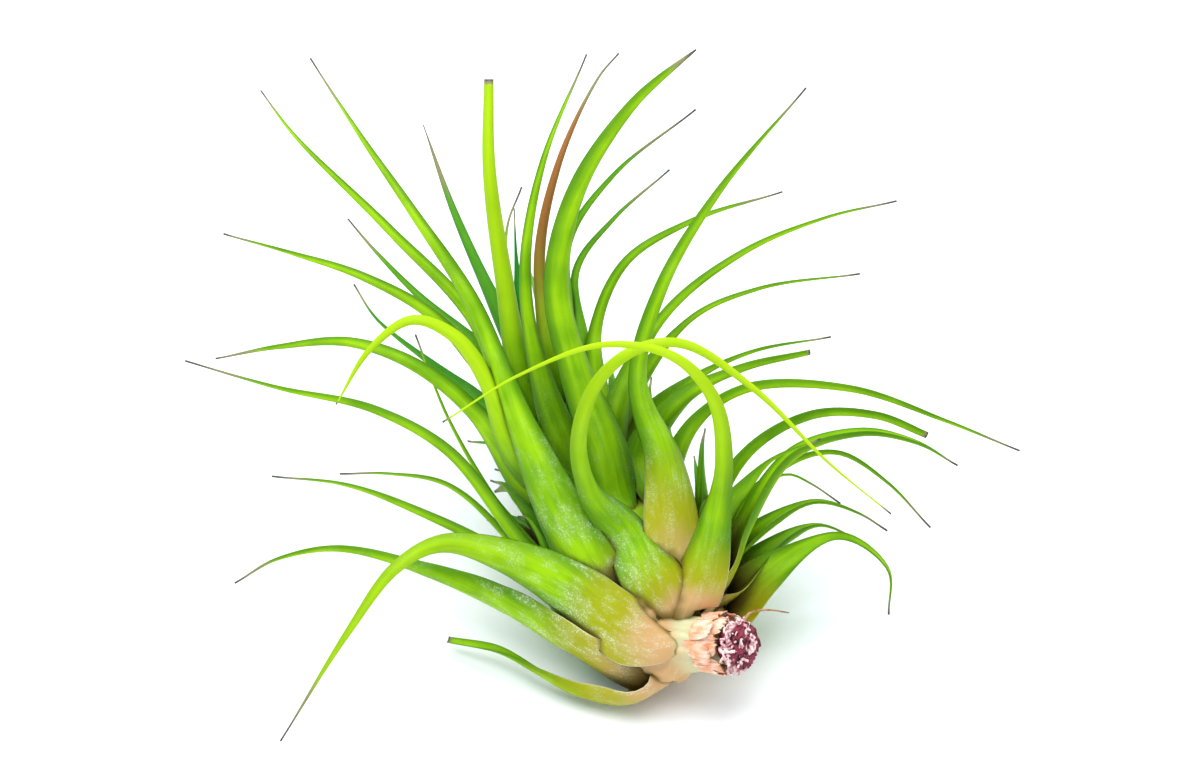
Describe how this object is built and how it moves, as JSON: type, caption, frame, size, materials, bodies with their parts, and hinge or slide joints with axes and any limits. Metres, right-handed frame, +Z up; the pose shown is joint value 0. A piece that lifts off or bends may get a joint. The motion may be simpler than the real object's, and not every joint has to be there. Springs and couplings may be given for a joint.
{
  "type": "air plant",
  "caption": "Air plant lying on its side: a bulb of overlapping leaf sheaths with narrow arching leaves, and a cut stem stub with a papery collar.",
  "frame": {"origin": "middle of the plant's outline box, on the surface that it lies on", "axes": "+Z up from the surface; +X across the fan of leaves, towards the side that the cut stub points to; +Y from the neck side towards the leaf tips of the heart"},
  "size_m": [0.1156, 0.0793, 0.0657],
  "materials": {
    "leaf": "satin, waxy, with fine silvery scales",
    "dry_sheath": "dry, papery, matt",
    "stub_and_roots": "dry, crumbly, matt"
  },
  "bodies": {
    "root": {"leaf_rosette": "leaf", "dry_collar": "dry_sheath", "stem_stub": "stub_and_roots"}
  },
  "joints": []
}
